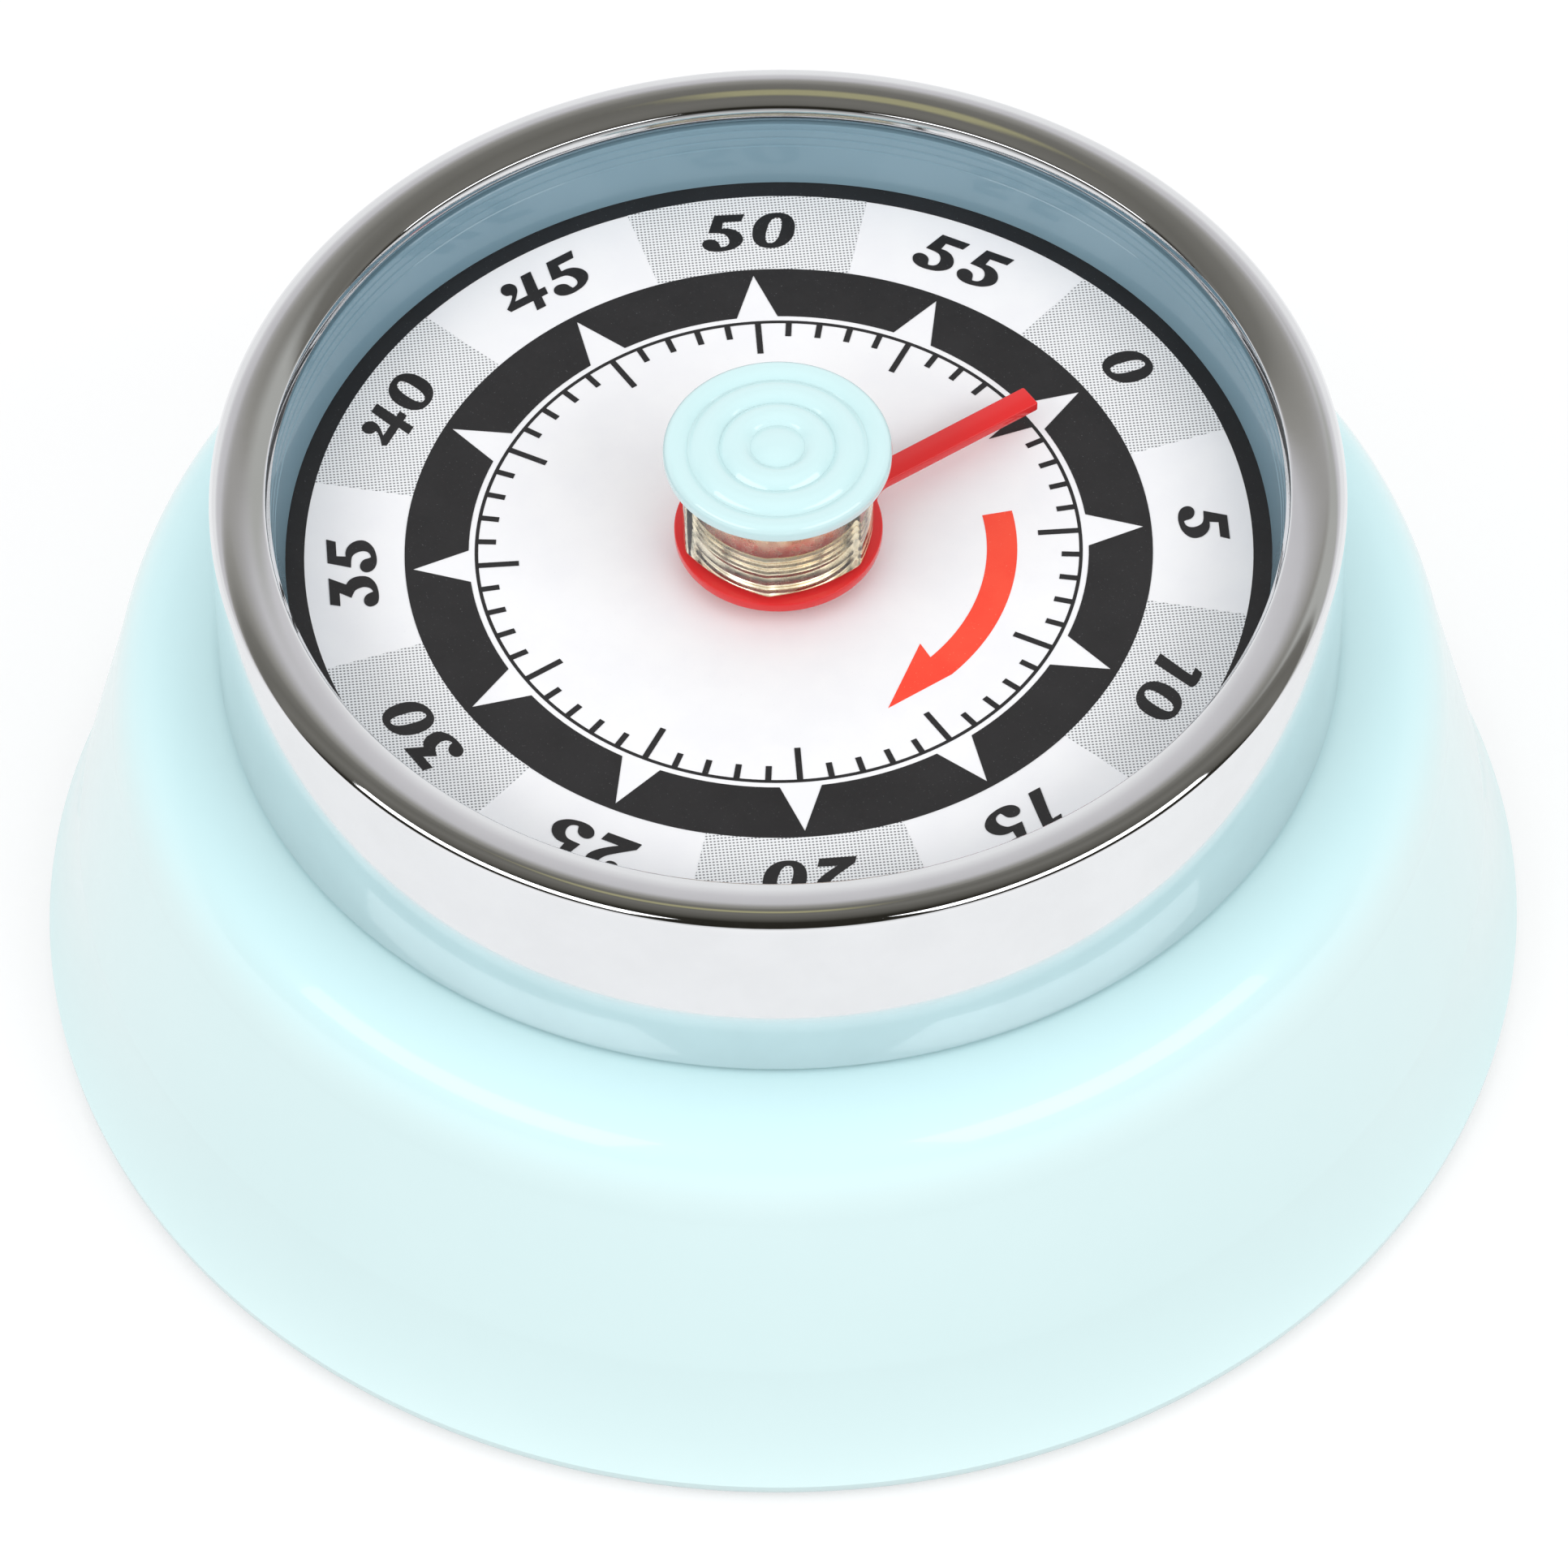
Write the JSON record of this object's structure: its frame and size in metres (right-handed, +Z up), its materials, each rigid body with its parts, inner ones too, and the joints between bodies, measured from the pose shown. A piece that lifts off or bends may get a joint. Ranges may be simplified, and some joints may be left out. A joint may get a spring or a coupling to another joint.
{
  "type": "kitchen timer",
  "caption": "Wind-up kitchen timer: bell-shaped case, chrome bezel, sunk dial, finger knob with pointer, and a geared movement with a bell.",
  "frame": {"origin": "on the table, under the middle of the dial", "axes": "+Z up along the main arbor, +Y towards zero minutes on the dial"},
  "size_m": [0.07, 0.07, 0.034],
  "materials": {
    "cyan_paint": "gloss",
    "chrome": "polished",
    "dial_print": "satin",
    "red_paint": "gloss",
    "clear_plastic": "clear",
    "zinc": "satin",
    "rubber": "matt",
    "ferrite": "matt",
    "brass": "satin",
    "steel": "satin",
    "bell_steel": "polished",
    "spring_steel": "blued"
  },
  "bodies": {
    "case": {"body_shell": "cyan_paint", "bezel_ring": "chrome", "dial_collar": "cyan_paint", "dial_plate": "dial_print", "base_cover": "zinc", "foot_ring": "rubber", "magnet_1": "ferrite", "magnet_2": "ferrite", "cover_screw_1": "steel", "cover_screw_2": "steel", "cover_screw_3": "steel", "standoff_1": "zinc", "standoff_2": "zinc", "standoff_3": "zinc", "bottom_plate": "brass", "top_plate": "brass", "pillar_1": "steel", "pillar_2": "steel", "pillar_3": "steel", "spring_barrel": "brass", "arbor_bush": "brass", "stop_post": "steel", "bell": "bell_steel", "bell_post": "steel", "bell_nut": "steel"},
    "knob": {"knob_cap": "cyan_paint", "knob_grip": "clear_plastic", "knob_hub": "brass", "pointer": "red_paint", "main_arbor": "steel", "mainspring": "spring_steel", "main_wheel": "brass", "stop_pin": "steel", "strike_cam": "brass"},
    "second": {"second_wheel": "brass", "second_arbor": "steel"},
    "third": {"third_wheel": "brass", "third_arbor": "steel"},
    "escape": {"escape_wheel": "brass", "escape_arbor": "steel"},
    "balance": {"anchor": "steel", "anchor_arbor": "steel", "balance_wheel": "brass"},
    "striker": {"hammer": "steel", "hammer_arbor": "steel", "strike_lever": "steel", "hammer_spring": "spring_steel"}
  },
  "joints": [
    {"name": "knob_turn", "type": "hinge", "parent": "case", "child": "knob", "pos_m": [0, 0, 0], "axis": [0, 0, 1], "range_deg": [-348.86, 0]},
    {"name": "second_wheel_turn", "type": "hinge", "parent": "case", "child": "second", "pos_m": [0.015, 0, 0], "axis": [0, 0, 1], "range_deg": [0, 1395.43]},
    {"name": "third_wheel_turn", "type": "hinge", "parent": "case", "child": "third", "pos_m": [0.0102, 0.011, 0], "axis": [0, 0, 1], "range_deg": [-5581.71, 0]},
    {"name": "escape_wheel_turn", "type": "hinge", "parent": "case", "child": "escape", "pos_m": [0.00233, 0.01623, 0], "axis": [0, 0, 1], "range_deg": [0, 19536]},
    {"name": "balance_rock", "type": "hinge", "parent": "case", "child": "balance", "pos_m": [-0.00438, 0.0158, 0], "axis": [0, 0, 1], "range_deg": [-4, 4]},
    {"name": "hammer_swing", "type": "hinge", "parent": "case", "child": "striker", "pos_m": [-0.0196, 0, 0], "axis": [0, 0, 1], "range_deg": [-10, 0], "stiffness_Nm_per_rad": 0.002, "springref_deg": 2.86}
  ],
  "couplings": [
    {"joint": "second_wheel_turn", "follows": "knob_turn", "ratio": -4},
    {"joint": "third_wheel_turn", "follows": "knob_turn", "ratio": 16},
    {"joint": "escape_wheel_turn", "follows": "knob_turn", "ratio": -56}
  ]
}
